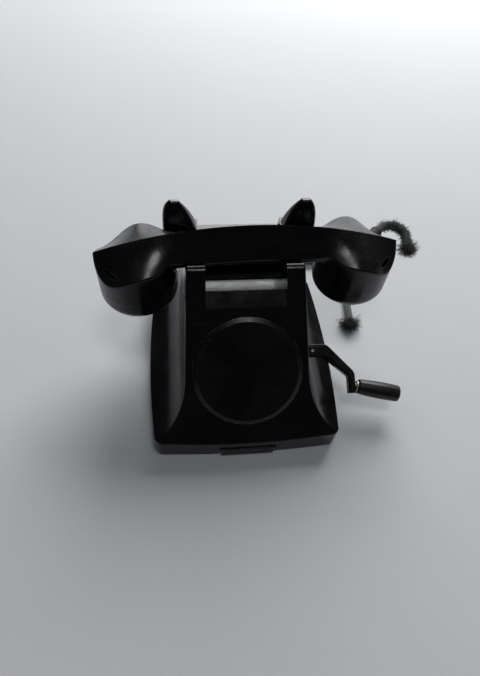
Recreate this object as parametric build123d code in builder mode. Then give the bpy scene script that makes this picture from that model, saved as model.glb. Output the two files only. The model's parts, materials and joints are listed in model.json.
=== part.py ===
"""Table telephone with a crank magneto: moulded resin housing, loose handset, blank dial opening.

Millimetres, +Z up, +X to the right of someone who faces the sloping front panel, which looks
along -Y. The origin is on the table, under the centre of the base.
"""
from math import atan, cos, degrees, pi, radians, sin, sqrt, tan
import os

from build123d import *

# ---------------------------------------------------------------- driving dimensions

# Housing
base_width = 157.6        # at the widest place of the bowed sides
base_depth = 170.0
side_bow = 5.0            # how far each bowed side swells between its corners
front_bow = 3.0
corner_radius = 6.0
skirt_gap = 1.0           # daylight between skirt and table
skirt_height = 20.8       # table to the crease under the sloping panel
crease_setback = 2.4
wall = 3.0
flank_foot_inset = 3.0    # from the widest place to the foot of the hollow flanks
neck_low_half = 48.9      # half width of the neck at its two levels
neck_low_z = 58.0
neck_top_half = 44.6
neck_top_z = 121.0
rear_lean = 8.0           # how far the rear wall leans in
ceiling_z = 96.5          # top of the hollow inside
panel_edge_round = 1.4

# Cradle
seat_z = 111.1            # where the handset's grip lies
pillar_thickness = 4.46   # of the front pillars at their tops
seat_depth = 42.0         # room between pillars and horns
horn_depth = 18.6         # of a horn at its root
pillar_front_round = 6.0
pillar_back_round = 1.3
handhold_half = 30.5      # hollow between the two cradle arms
handhold_bevel_z = 99.2   # the panel bends into a flatter lip here
handhold_lip_rise = 7.4
handhold_lip_run = 11.0
handhold_floor_z = 100.5
handhold_floor_run = 16.0
handhold_rise_run = 13.0
handhold_round = 4.0
deck_z = 103.5
saddle_half = 61.8        # cradle arms at the horns
saddle_drop = 24.0        # height over which they flare out of the neck
saddle_flare_run = 2.0    # in front of the horns; further on the deck is as narrow as the neck
saddle_flare_half = 46.0
horn_top_z = 134.5
horn_root_z = 105.0
horn_root_half = 34.0     # inner side of a horn at its root
horn_tip_inner = 49.0
horn_tip_outer = 55.5
horn_front_lean = 11.0
horn_back_lean = 3.5
horn_slices = 5
horn_root_roundness = 0.28
horn_tip_roundness = 0.46
horn_tip_round = 2.2
saddle_round = 5.0

# Dial opening and its blank plate
dial_up_slope = 56.5      # crease to centre, along the panel
dial_hole_radius = 37.0
dial_plate_radius = 43.0
dial_bevel = 3.3
dial_plate_height = 2.4
dial_rim_height = 0.7
dial_spigot_depth = 6.0
dial_spigot_wall = 2.0
dial_stud_radius = 1.6
dial_pad_radius = 2.0     # ends of the spring bar that holds the plate from inside
dial_clamp_width = 10.0
dial_clamp_thickness = 1.2

# Base
plate_thickness = 1.5
foot_radius = 7.0
foot_height = 2.6
foot_inset = 20.0         # from the sides
foot_setback = 32.0       # from the front and the rear
foot_stem_radius = 2.5
foot_chamfer = 0.6
screw_radius = 2.0
screw_head_radius = 3.6
screw_head_height = 1.4
screw_slot = 0.8
boss_radius = 5.5
boss_inset = 14.0
screw_length = 9.0
inlet_x = 45.0            # cord openings in the rear wall, left and right
inlet_z = 9.8
inlet_radius = 5.5

# Index tray
tray_width = 43.0
tray_depth = 60.0
tray_height = 3.8
tray_sheet = 1.0
tray_front_thickness = 3.0
tray_edge_round = 0.7
tray_rail_inset = 8.0
card_thickness = 0.4
tray_reach = 2.0          # how far its finger lip stands out
tray_gap = 0.4            # to its rails and to the plate under it
tray_rail = 1.2
tray_travel = 55.0
notch_height = 12.5

# Crank
crank_y = -15.0
crank_z = 42.5
crank_throw = 31.0
crank_opening_radius = 8.5
crank_rest_angle = 30.0   # below the horizontal, towards the front
crank_shaft_radius = 3.5
crank_hub_x = 54.0        # inner end of the arm
crank_outer_x = 94.0      # outer face of the arm's end
crank_end_thickness = 5.6
crank_arm_height = 11.0
crank_arm_thickness = 10.5
crank_bend_x = 70.5       # the arm turns away from the shaft's line here
crank_knee_back = 11.5    # from the arm's outer knee to the knob's pin
crank_inner_knee_back = 7.7
crank_inner_bend_back = 2.5
crank_bend_rounds = (10.0, 9.0, 5.0, 4.0)
crank_arm_over = 6.2      # how far the arm runs past the knob's pin
crank_arm_round = 2.2
crank_socket_depth = 9.0
crank_rivet_radius = 1.2
knob_length = 36.0
knob_rake = 13.0          # the pin leans away from the shaft
knob_stand_off = 1.4      # from the arm to the washer, along the pin
knob_neck_radius = 6.2
knob_swell_radius = 7.3
knob_end_radius = 6.9
knob_edge_round = 1.4
knob_pin_radius = 2.5
knob_pin_head_radius = 3.8
knob_pin_head_depth = 1.6
knob_washer_radius = 4.6
knob_washer_thickness = 1.0
running_gap = 0.06        # radial, shafts in their bores
side_gap = 0.4            # between faces that turn past each other

# Magneto
gear_teeth = 60
pinion_teeth = 12
gear_module = 0.75
gear_width = 5.0
gear_addendum = 0.8       # of the module
gear_dedendum = 1.15
gear_tooth_share = 0.40   # of the pitch, at the pitch circle
armature_radius = 10.0
armature_end_gap = 1.5
armature_slot = 9.0
armature_web_half = 3.0
armature_shaft_radius = 2.5
pole_gap = 0.5
pole_height = 26.0
pole_half = 15.0
pole_split = 4.0
pole_half_length = 22.5
magnet_thickness = 5.0
magnet_width = 12.0
magnet_count = 3
magnet_pitch = 14.5
magnet_bow_z = 64.0       # the bows begin here
frame_plate = 2.5
frame_front_y = -24.0
frame_back_y = 31.0
frame_top_z = 56.0
gear_bay = 10.0           # between the two right-hand frame plates
bushing_wall = 3.0
bushing_end_gap = 0.8

# Ringer
gong_radius = 20.0
gong_height = 11.0
gong_wall = 1.4
gong_rim_z = 40.0
gong_dome_round = 7.0
gong_post_radius = 2.5
gong_screw_head = 3.6
ringer_setback = 31.0     # from the rear of the base
clapper_ball_radius = 2.5
clapper_ball_z = 43.4
clapper_ball_gap = 1.1    # to each gong
clapper_pivot_z = 34.8
clapper_bar_half = 17.0
clapper_bar_width = 8.0
clapper_rod_radius = 0.8
clapper_hub_radius = 2.4
clapper_pin_radius = 1.0
coil_radius = 8.5
coil_bottom_z = 9.0
coil_height = 20.0
coil_pitch = 22.0
core_radius = 3.0
ringer_frame_half = 20.0
ringer_frame_depth = 24.0
ringer_upright = 1.5

# Hook switch
plunger_x = 38.0
plunger_radius = 3.0
plunger_gap = 0.2         # to the grip that presses it
yoke_z = 86.0
yoke_height = 4.0
yoke_depth = 6.0
lever_reach = 25.0        # from the plungers back to the lever's pivot
lever_pivot_z = 84.0
lever_half_width = 4.0
lever_thickness = 2.0
lever_hub_radius = 3.0
lever_pin_radius = 1.2
bracket_half = 12.0
bracket_depth = 22.0
bracket_thickness = 2.0
bracket_screw_x = 8.2
bracket_screw_back = 7.2
bracket_ear = 1.6
contact_count = 3
contact_pitch = 1.2
contact_thickness = 0.4
contact_top_z = 93.0
contact_reach = 20.0
contact_block_depth = 6.0

# Electrical pieces on the base plate
capacitor_size = (22.0, 40.0, 24.0)
capacitor_place = (-46.0, 14.0)
coil_former = (18.0, 40.0, 18.0)
coil_former_place = (-43.0, -34.0)
coil_former_cheek = 2.0
coil_former_gap = 1.5
terminal_size = (18.0, 30.0, 9.0)
terminal_place = (42.5, -57.0)
terminal_rows = 4
terminal_pitch = 7.0

# Handset
handset_x = 5.0           # it lies a little to the right in its cradle
handset_yaw = 1.5         # and a little askew
head_spacing = 175.4      # centre to centre
head_radius = 31.0
ridge_mid_z = 139.5
ridge_end_z = 118.0
ridge_slope_mid = 55.0    # roof facets beside the ridge
ridge_slope_head = 21.0
roof_slices = 8
grip_half = 15.2
grip_head_half = 18.5     # where the grip runs into the heads
grip_under_z = 111.4
grip_root_round = 8.0
grip_under_round = 5.0
eaves_round = 2.0
seam_z = 92.0
head_ceiling_z = 112.0
head_pocket_radius = 12.0
head_pocket_z = 119.0
wire_bore_radius = 2.5
wire_bore_z = 116.0
cap_bottom_z = 71.0
cap_bottom_radius = 25.5
cap_waist_z = 81.0
cap_wall = 2.2
thread_gap = 0.15
spigot_height = 6.0
spigot_wall = 2.2
cap_edge_round = 1.5
seam_gap = 0.3
capsule_radius = 20.5     # of the room for the capsule in a cap
capsule_z = 73.5
capsule_rim = 3.5
sound_hole_radius = 1.4
sound_ring_radius = 8.0
sound_ring_holes = 8
mouth_rim_radius = 15.0
mouth_rim_height = 2.0
capsule_spring_size = (6.0, 3.0, 0.5)
sleeve_radius = 5.0
sleeve_length = 5.0
sleeve_round = 0.8
sleeve_azimuth = 45.0     # behind +X, where the cord leaves the right head
sleeve_z = 104.0

# Cords
cord_diameter = 7.0
handset_cord_run = ((0, 0, 0), (9.9, 9.9, 0), (27.4, -0.2, -0.5), (22.2, -19.5, -2.3))
handset_cord_rounds = (13.0, 13.0)
base_cord_run = (
    (0, 0, 0), (0, 21.0, 0), (15.5, 37.5, -4.4), (58.5, 38.0, -6.2), (73.5, 21.0, -6.2),
    (72.2, -13.5, -6.2), (68.5, -46.0, -6.2),
)
base_cord_rounds = (22.0, 22.0, 22.0, 22.0, 60.0)
inlet_flange = 1.5
line_bore_radius = 4.0

os.makedirs("parts", exist_ok=True)

# ---------------------------------------------------------------- derived places

half_width = base_width / 2
half_depth = base_depth / 2
crease_y = crease_setback - half_depth
beyond = 10.0             # how far cutting outlines reach past what they cut
flank_foot_half = half_width - flank_foot_inset
rear_top_y = half_depth - crease_setback - rear_lean
horn_front_y = rear_top_y - horn_depth
saddle_flare_y = horn_front_y - saddle_flare_run
pillar_back_y = horn_front_y - seat_depth
panel_top_y = pillar_back_y - pillar_thickness
panel_rise = (neck_top_z - skirt_height) / (panel_top_y - crease_y)
panel_angle = degrees(atan(panel_rise))
handset_y = pillar_back_y + seat_depth / 2
lever_pivot_y = handset_y + lever_reach
ringer_y = half_depth - ringer_setback
plate_bottom_z = foot_height
plate_top_z = foot_height + plate_thickness


def panel_z(y, inset=0):
    """Height of the sloping panel's plane, or of one set in below it."""
    return skirt_height + (y - crease_y) * panel_rise - inset / cos(radians(panel_angle))


def panel_y(z, inset=0):
    """Where the sloping panel's plane, or one set in below it, reaches a height."""
    return crease_y + (z - skirt_height + inset / cos(radians(panel_angle))) / panel_rise


def save(piece, name, turn=0):
    """Label a finished piece, turned about the handset's middle, and write its STEP file."""
    part = piece.part
    if turn:
        part = part.rotate(Axis((handset_x, handset_y, 0), (0, 0, 1)), turn)
    part.label = name
    export_step(part, f"parts/{name}.step")


# ---------------------------------------------------------------- housing

def plan_face(inset):
    """Plan of the base: four bowed sides and rounded corners, shrunk by inset."""
    far_x, far_y = half_width - inset, half_depth - inset
    corner_x, corner_y = far_x - side_bow, far_y - front_bow
    with BuildSketch() as plan:
        with BuildLine():
            ThreePointArc((-corner_x, -corner_y), (0, -far_y), (corner_x, -corner_y))
            ThreePointArc((corner_x, -corner_y), (far_x, 0), (corner_x, corner_y))
            ThreePointArc((corner_x, corner_y), (0, far_y), (-corner_x, corner_y))
            ThreePointArc((-corner_x, corner_y), (-far_x, 0), (-corner_x, -corner_y))
        make_face()
        fillet(plan.vertices(), corner_radius - inset)
    return plan.sketch


def inward(direction):
    """Unit normal of a right-hand outline, towards the middle of the housing."""
    return Vector(direction.Y, -direction.X).normalized()


def front_face(bottom, inset):
    """Outline from the front: hollow flanks between the skirt and a tapering neck."""
    taper = Vector(neck_low_half - neck_top_half, neck_low_z - neck_top_z)
    neck_top, neck_low = Vector(neck_top_half, neck_top_z), Vector(neck_low_half, neck_low_z)
    foot = Vector(flank_foot_half, skirt_height)
    far = half_width + beyond
    with BuildSketch(Plane.XZ) as front:
        with BuildLine():
            run_out = TangentArc(neck_low, foot, tangent=taper, mode=Mode.PRIVATE) % 1
            neck_top += inward(taper) * inset
            neck_low += inward(taper) * inset
            foot += inward(run_out) * inset
            low = foot + run_out * ((far - foot.X) / run_out.X)
            Polyline((0, neck_top.Y), neck_top, neck_low)
            TangentArc(neck_low, foot, tangent=taper)
            Polyline(foot, low, (far, bottom), (0, bottom), (0, neck_top.Y))
        make_face()
        mirror(about=Plane.YZ)
    return front.sketch


def side_face(bottom, inset):
    """Outline from the side: skirt, sloping panel, pillar, seat and rear wall."""
    near = -half_depth - beyond
    top_y = panel_y(neck_top_z, inset)
    with BuildSketch(Plane.YZ) as side:
        with BuildLine():
            Polyline(
                (near, bottom),
                (near, panel_z(near, inset)),
                (top_y, neck_top_z),
                (pillar_back_y, neck_top_z),
                (pillar_back_y, seat_z),
                (rear_top_y - inset, seat_z),
                (rear_top_y + rear_lean - inset, skirt_height - inset),
                (-near, skirt_height - beyond - inset),
                (-near, bottom),
                (near, bottom),
            )
        make_face()
        if not inset:
            fillet(side.vertices().sort_by_distance((top_y, neck_top_z))[0], pillar_front_round)
            fillet(side.vertices().sort_by_distance((pillar_back_y, neck_top_z))[0], pillar_back_round)
    return side.sketch


def housing_form(bottom, top, inset):
    """The housing's outer form between two levels, shrunk by inset."""
    front, side = front_face(bottom, inset), side_face(bottom, inset)
    with BuildPart() as form:
        with BuildSketch(Plane.XY.offset(bottom)):
            add(plan_face(inset))
        extrude(amount=top - bottom)
        extrude(front, amount=base_depth, both=True, mode=Mode.INTERSECT)
        extrude(side, amount=base_width, both=True, mode=Mode.INTERSECT)
    return form.part


dial_y = crease_y + dial_up_slope * cos(radians(panel_angle))
dial_plane = Plane(
    origin=(0, dial_y, panel_z(dial_y)),
    x_dir=(1, 0, 0),
    z_dir=(0, -sin(radians(panel_angle)), cos(radians(panel_angle))),
)
boss_places = [
    (side * (half_width - boss_inset), end * (half_depth - boss_inset)) for side in (-1, 1) for end in (-1, 1)
]
plunger_places = [(side * plunger_x, handset_y) for side in (-1, 1)]


with BuildPart() as outer_form:
    add(housing_form(skirt_gap, neck_top_z, 0))
    fillet(outer_form.faces().filter_by(dial_plane)[0].edges(), panel_edge_round)
hollow_form = housing_form(skirt_gap - beyond, ceiling_z, wall)


def horn_section(part_way):
    """One rounded slice of the right horn, from its root at 0 to its tip at 1."""
    inner = horn_root_half + (horn_tip_inner - horn_root_half) * part_way ** 1.75
    outer = saddle_half - (saddle_half - horn_tip_outer) * part_way ** 6
    front = horn_front_y + horn_front_lean * part_way ** 1.5
    back = rear_top_y - horn_back_lean * part_way ** 4
    width, depth = outer - inner, back - front
    with BuildSketch(Plane.XY.offset(horn_root_z + (horn_top_z - horn_root_z) * part_way)) as slice_:
        with Locations(((inner + outer) / 2, (front + back) / 2)):
            roundness = horn_root_roundness + (horn_tip_roundness - horn_root_roundness) * part_way
            RectangleRounded(width, depth, min(width, depth) * roundness)
    return slice_.sketch


with BuildPart() as right_horn:
    loft([horn_section(step / horn_slices) for step in range(horn_slices + 1)])
    fillet(right_horn.faces().sort_by(Axis.Z)[-1].edges(), horn_tip_round)

with BuildPart() as saddle:
    for level, spread in ((seat_z, 0), (seat_z - saddle_drop, saddle_half - neck_low_half)):
        far = saddle_half - spread
        with BuildSketch(Plane.XY.offset(level)) as saddle_level:
            with BuildLine():
                Polyline(
                    (0, pillar_back_y),
                    (neck_top_half - spread / 4, pillar_back_y),
                    (saddle_flare_half - spread / 4, saddle_flare_y),
                    (far, horn_front_y),
                    (far, rear_top_y),
                    (0, rear_top_y),
                    (0, pillar_back_y),
                )
            make_face()
            mirror(about=Plane.YZ)
            fillet(saddle_level.vertices().group_by(Axis.X)[0], saddle_round)
            fillet(saddle_level.vertices().group_by(Axis.X)[-1], saddle_round)
    loft(ruled=True)

lip_y = panel_y(handhold_bevel_z) + handhold_lip_run
with BuildPart() as handhold:
    with BuildSketch(Plane.YZ):
        with BuildLine():
            Polyline(
                (panel_y(handhold_bevel_z), handhold_bevel_z),
                (lip_y, handhold_bevel_z + handhold_lip_rise),
                (lip_y + handhold_floor_run, handhold_floor_z),
                (lip_y + handhold_floor_run + handhold_rise_run, deck_z),
                (half_depth, deck_z),
                (half_depth, horn_top_z),
                (panel_y(handhold_bevel_z), horn_top_z),
                (panel_y(handhold_bevel_z), handhold_bevel_z),
            )
        make_face()
    extrude(amount=handhold_half, both=True)
    floor_edge = handhold.edges().filter_by(Axis.X).sort_by(Axis.Z)[1]
    fillet(floor_edge, handhold_round)

with BuildPart() as bosses:
    with BuildSketch(Plane.XY.offset(plate_top_z)):
        with Locations(*boss_places):
            Circle(boss_radius)
    extrude(amount=skirt_height)
    add(outer_form.part, mode=Mode.INTERSECT)

with BuildPart() as housing:
    add(outer_form.part)
    add(saddle.part)
    with BuildSketch(Plane.XY.offset(deck_z)):
        with Locations((0, horn_front_y)):
            Rectangle(2 * horn_root_half, half_depth, align=(Align.CENTER, Align.MIN))
    extrude(amount=horn_top_z - deck_z, mode=Mode.SUBTRACT)
    add(right_horn.part)
    mirror(right_horn.part, about=Plane.YZ)
    add(handhold.part, mode=Mode.SUBTRACT)
    add(hollow_form, mode=Mode.SUBTRACT)
    add(bosses.part)
    with BuildSketch(dial_plane):
        Circle(dial_hole_radius)
    extrude(amount=beyond, both=True, mode=Mode.SUBTRACT)
    with BuildSketch(Plane.YZ.offset(neck_top_half - beyond)):
        with Locations((crank_y, crank_z)):
            Circle(crank_opening_radius)
    extrude(amount=half_width, mode=Mode.SUBTRACT)
    with BuildSketch(Plane.XY.offset(seat_z)):
        with Locations(*plunger_places):
            Circle(plunger_radius + side_gap)
    extrude(amount=-(seat_z - yoke_z), mode=Mode.SUBTRACT)
    with BuildSketch(Plane.XY.offset(plate_top_z)):
        with Locations(*boss_places):
            Circle(screw_radius)
    extrude(amount=screw_length, mode=Mode.SUBTRACT)
    with BuildSketch(Plane.XZ.offset(half_depth - 2 * beyond)):
        with Locations((0, (skirt_gap + notch_height) / 2)):
            Rectangle(tray_width + 2 * tray_rail + 2 * tray_gap, notch_height - skirt_gap)
    extrude(amount=3 * beyond, mode=Mode.SUBTRACT)
    with BuildSketch(Plane.XZ.offset(-half_depth + 2 * beyond)):
        with Locations((inlet_x, inlet_z), (-inlet_x, inlet_z)):
            Circle(inlet_radius)
    extrude(amount=-3 * beyond, mode=Mode.SUBTRACT)
save(housing, "housing")

# ---------------------------------------------------------------- base

plate_plan = plan_face(wall + side_gap)
foot_places = [
    (side * (half_width - foot_inset), end * (half_depth - foot_setback))
    for side in (-1, 1)
    for end in (-1, 1)
]
with BuildPart() as base_plate:
    with BuildSketch(Plane.XY.offset(plate_bottom_z)):
        add(plate_plan)
        with Locations(*boss_places):
            Circle(screw_radius, mode=Mode.SUBTRACT)
        with Locations(*foot_places):
            Circle(foot_stem_radius, mode=Mode.SUBTRACT)
    extrude(amount=plate_thickness)
save(base_plate, "base_plate")

with BuildPart() as rubber_feet:
    with BuildSketch(Plane.XY):
        with Locations(*foot_places):
            Circle(foot_radius)
    extrude(amount=foot_height)
    chamfer(rubber_feet.faces().sort_by(Axis.Z)[0].edges(), foot_chamfer)
    with BuildSketch(Plane.XY.offset(foot_height)):
        with Locations(*foot_places):
            Circle(foot_stem_radius)
    extrude(amount=plate_thickness + foot_chamfer)
save(rubber_feet, "rubber_feet")

with BuildPart() as base_screws:
    with BuildSketch(Plane.XY.offset(plate_bottom_z - screw_head_height)):
        with Locations(*boss_places):
            Circle(screw_head_radius)
            Rectangle(2 * screw_head_radius, screw_slot, mode=Mode.SUBTRACT)
    extrude(amount=screw_head_height)
    with BuildSketch(Plane.XY.offset(plate_bottom_z - screw_head_height / 2)):
        with Locations(*boss_places):
            Circle(screw_radius)
    extrude(amount=screw_head_height / 2 + plate_thickness + screw_length - side_gap)
save(base_screws, "base_screws")

# ---------------------------------------------------------------- blank plate of the dial opening

with BuildPart() as dial_blank:
    with BuildSketch(dial_plane):
        Circle(dial_plate_radius)
    extrude(amount=dial_plate_height)
    chamfer(
        dial_blank.faces().sort_by(Axis(dial_plane.origin, dial_plane.z_dir))[-1].edges(),
        dial_plate_height - dial_rim_height,
        dial_bevel,
    )
    with BuildSketch(dial_plane):
        Circle(dial_hole_radius - side_gap)
        Circle(dial_hole_radius - side_gap - dial_spigot_wall, mode=Mode.SUBTRACT)
    extrude(amount=-dial_spigot_depth)
    with BuildSketch(dial_plane):
        Circle(dial_stud_radius + dial_spigot_wall)
    extrude(amount=-dial_spigot_depth)
    with BuildSketch(dial_plane.offset(-dial_spigot_depth)):
        Circle(dial_stud_radius)
    extrude(amount=dial_spigot_depth - side_gap, mode=Mode.SUBTRACT)
save(dial_blank, "dial_blank")

dial_pad_place = dial_hole_radius + dial_pad_radius + 2 * side_gap
with BuildPart() as dial_clamp:
    with BuildSketch(dial_plane.offset(-dial_spigot_depth)):
        SlotOverall(2 * dial_pad_place + dial_clamp_width, dial_clamp_width)
        Circle(dial_stud_radius, mode=Mode.SUBTRACT)
    extrude(amount=-dial_clamp_thickness)
    with BuildSketch(dial_plane.offset(-wall)):
        with Locations((dial_pad_place, 0), (-dial_pad_place, 0)):
            Circle(dial_pad_radius)
    extrude(amount=wall - dial_spigot_depth)
save(dial_clamp, "dial_clamp")

with BuildPart() as dial_clamp_screw:
    with BuildSketch(dial_plane.offset(-dial_spigot_depth - dial_clamp_thickness)):
        Circle(2 * dial_stud_radius)
    extrude(amount=-screw_head_height)
    with BuildSketch(dial_plane.offset(-dial_spigot_depth - dial_clamp_thickness)):
        Circle(dial_stud_radius)
    extrude(amount=dial_spigot_depth + dial_clamp_thickness - 2 * side_gap)
save(dial_clamp_screw, "dial_clamp_screw")

# ---------------------------------------------------------------- index tray

tray_z = plate_top_z + tray_gap
tray_front_y = -half_depth - tray_reach
with BuildPart() as index_tray:
    with BuildSketch(Plane.XY.offset(tray_z)):
        with Locations((0, tray_front_y)):
            Rectangle(tray_width, tray_depth, align=(Align.CENTER, Align.MIN))
    extrude(amount=tray_height)
    with BuildSketch(Plane.XY.offset(tray_z + tray_sheet)):
        with Locations((0, tray_front_y + tray_front_thickness)):
            Rectangle(
                tray_width - 2 * tray_sheet,
                tray_depth - tray_front_thickness - tray_sheet,
                align=(Align.CENTER, Align.MIN),
            )
    extrude(amount=tray_height, mode=Mode.SUBTRACT)
    fillet(index_tray.edges().filter_by(Axis.X).group_by(Axis.Y)[0], tray_edge_round)
save(index_tray, "index_tray")

with BuildPart() as index_card:
    with BuildSketch(Plane.XY.offset(tray_z + tray_sheet)):
        with Locations((0, tray_front_y + tray_front_thickness + side_gap)):
            Rectangle(
                tray_width - 2 * tray_sheet - 2 * side_gap,
                tray_depth - tray_front_thickness - tray_sheet - 2 * side_gap,
                align=(Align.CENTER, Align.MIN),
            )
    extrude(amount=card_thickness)
save(index_card, "index_card")

with BuildPart() as tray_rails:
    for side in (-1, 1):
        with BuildSketch(Plane.XY.offset(plate_top_z)):
            rail_x = side * (tray_width / 2 + tray_gap + tray_rail / 2)
            with Locations((rail_x, tray_front_y + tray_rail_inset)):
                Rectangle(tray_rail, tray_depth - tray_rail_inset, align=(Align.CENTER, Align.MIN))
        extrude(amount=tray_gap + tray_height + tray_gap)
        with BuildSketch(Plane.XY.offset(tray_z + tray_height + tray_gap)):
            with Locations((side * tray_width / 2, tray_front_y + tray_rail_inset)):
                Rectangle(
                    2 * (tray_rail + tray_gap), tray_depth - tray_rail_inset, align=(Align.CENTER, Align.MIN)
                )
        extrude(amount=tray_rail)
save(tray_rails, "tray_rails")


# ---------------------------------------------------------------- crank

crank_slope = radians(crank_rest_angle)
crank_plane = Plane(
    origin=(0, crank_y, crank_z), x_dir=(1, 0, 0), z_dir=(0, sin(crank_slope), -cos(crank_slope))
)
crank_axis_plane = Plane.YZ.offset(crank_hub_x)
arm_inner_x = crank_outer_x - crank_end_thickness
arm_end = crank_throw + crank_arm_over
half_arm = crank_arm_height / 2
outer_bend = (crank_bend_x, -half_arm)
outer_knee = (crank_outer_x, crank_throw - crank_knee_back)
inner_knee = (arm_inner_x, crank_throw - crank_inner_knee_back)
inner_bend = (crank_bend_x - crank_inner_bend_back, half_arm)

rake = radians(knob_rake)
pin_direction = crank_plane.x_dir * cos(rake) + crank_plane.y_dir * sin(rake)
pin_start = crank_plane.from_local_coords((crank_outer_x, crank_throw, 0))
pin_plane = Plane(origin=pin_start, x_dir=crank_plane.z_dir, z_dir=pin_direction)
knob_start = side_gap + knob_stand_off + knob_washer_thickness
pin_length = knob_start + knob_length - knob_pin_head_depth

with BuildPart() as crank_arm:
    with BuildSketch(crank_plane) as arm_outline:
        with BuildLine():
            Polyline(
                (crank_hub_x, -half_arm),
                outer_bend,
                outer_knee,
                (crank_outer_x, arm_end),
                (arm_inner_x, arm_end),
                inner_knee,
                inner_bend,
                (crank_hub_x, half_arm),
                (crank_hub_x, -half_arm),
            )
        make_face()
        for corner, bend_round in zip((outer_bend, outer_knee, inner_knee, inner_bend), crank_bend_rounds):
            fillet(arm_outline.vertices().sort_by_distance(corner)[0], bend_round)
    extrude(amount=crank_arm_thickness / 2, both=True)
    flat_sides = crank_arm.faces().filter_by(crank_plane)
    fillet(flat_sides.edges(), crank_arm_round)
    with BuildSketch(crank_axis_plane):
        with Locations((crank_y, crank_z)):
            Circle(crank_shaft_radius)
    extrude(amount=crank_socket_depth, mode=Mode.SUBTRACT)
    with BuildSketch(crank_plane):
        with Locations((crank_hub_x + crank_socket_depth / 2, 0)):
            Circle(crank_rivet_radius)
    extrude(amount=crank_arm_thickness, both=True, mode=Mode.SUBTRACT)
    with BuildSketch(pin_plane):
        Circle(knob_pin_radius)
    extrude(amount=2 * crank_end_thickness, both=True, mode=Mode.SUBTRACT)
save(crank_arm, "crank_arm")

with BuildPart() as crank_rivet:
    with BuildSketch(crank_plane):
        with Locations((crank_hub_x + crank_socket_depth / 2, 0)):
            Circle(crank_rivet_radius)
    extrude(amount=crank_arm_thickness / 2, both=True)
save(crank_rivet, "crank_rivet")

with BuildPart() as crank_knob_pin:
    with BuildSketch(pin_plane.offset(-crank_end_thickness - side_gap)):
        Circle(knob_pin_radius)
    extrude(amount=crank_end_thickness + side_gap + pin_length)
    with BuildSketch(pin_plane.offset(pin_length)):
        Circle(knob_pin_head_radius)
    extrude(amount=knob_pin_head_depth - side_gap)
save(crank_knob_pin, "crank_knob_pin")

with BuildPart() as crank_knob_washer:
    with BuildSketch(pin_plane.offset(knob_stand_off)):
        Circle(knob_washer_radius)
        Circle(knob_pin_radius, mode=Mode.SUBTRACT)
    extrude(amount=knob_washer_thickness)
save(crank_knob_washer, "crank_knob_washer")

knob_profile_plane = Plane(
    origin=pin_start, x_dir=pin_plane.x_dir, z_dir=pin_plane.x_dir.cross(pin_direction)
)
with BuildPart() as crank_knob:
    with BuildSketch(knob_profile_plane) as knob_profile:
        with BuildLine():
            Polyline(
                (knob_end_radius, knob_start + knob_length), (0, knob_start + knob_length), (0, knob_start),
                (knob_neck_radius, knob_start),
            )
            ThreePointArc(
                (knob_neck_radius, knob_start),
                (knob_swell_radius, knob_start + knob_length * 2 / 3),
                (knob_end_radius, knob_start + knob_length),
            )
        make_face()
        fillet(knob_profile.vertices().group_by(Axis.X)[-2:], knob_edge_round)
    revolve(axis=Axis(pin_start, pin_direction))
    with BuildSketch(pin_plane.offset(knob_start)):
        Circle(knob_pin_radius + running_gap)
    extrude(amount=knob_length, mode=Mode.SUBTRACT)
    with BuildSketch(pin_plane.offset(pin_length - side_gap)):
        Circle(knob_pin_head_radius + side_gap)
    extrude(amount=knob_length, mode=Mode.SUBTRACT)
save(crank_knob, "crank_knob")

# ---------------------------------------------------------------- magneto

armature_y = crank_y + gear_module * (gear_teeth + pinion_teeth) / 2
gear_x = pole_half_length + frame_plate + (gear_bay - gear_width) / 2
right_plate_x = pole_half_length + frame_plate + gear_bay


def gear_face(teeth, phase):
    """A spur gear's outline with slim straight-sided teeth; phase is in tooth pitches."""
    pitch_radius = gear_module * teeth / 2
    pitch_angle = 2 * pi / teeth
    tip, root = pitch_radius + gear_addendum * gear_module, pitch_radius - gear_dedendum * gear_module
    tip_half = pitch_angle * gear_tooth_share / 4
    root_half = pitch_angle * gear_tooth_share * 3 / 4
    outline = []
    for tooth in range(teeth):
        middle = (tooth + phase) * pitch_angle
        for radius, turn in ((root, -root_half), (tip, -tip_half), (tip, tip_half), (root, root_half)):
            outline.append((radius * cos(middle + turn), radius * sin(middle + turn)))
    with BuildSketch() as wheel:
        with BuildLine():
            Polyline(*outline, close=True)
        make_face()
    return wheel.sketch


with BuildPart() as crank_gear:
    with BuildSketch(Plane.YZ.offset(gear_x)):
        with Locations((crank_y, crank_z)):
            add(gear_face(gear_teeth, 0))
            Circle(crank_shaft_radius, mode=Mode.SUBTRACT)
            with PolarLocations(gear_module * gear_teeth / 3.4, 5):
                Circle(gear_module * gear_teeth / 10, mode=Mode.SUBTRACT)
    extrude(amount=gear_width)
save(crank_gear, "crank_gear")

with BuildPart() as crank_shaft:
    with BuildSketch(Plane.YZ.offset(pole_half_length - armature_end_gap)):
        with Locations((crank_y, crank_z)):
            Circle(crank_shaft_radius)
    extrude(amount=crank_hub_x + crank_socket_depth - pole_half_length + armature_end_gap)
    with BuildSketch(crank_plane):
        with Locations((crank_hub_x + crank_socket_depth / 2, 0)):
            Circle(crank_rivet_radius)
    extrude(amount=crank_arm_thickness, both=True, mode=Mode.SUBTRACT)
save(crank_shaft, "crank_shaft")

with BuildPart() as magneto_pinion:
    with BuildSketch(Plane.YZ.offset(gear_x - side_gap)):
        with Locations((armature_y, crank_z)):
            add(gear_face(pinion_teeth, 0.5 + pinion_teeth / 2))
            Circle(armature_shaft_radius, mode=Mode.SUBTRACT)
    extrude(amount=gear_width + 2 * side_gap)
save(magneto_pinion, "magneto_pinion")

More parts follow.
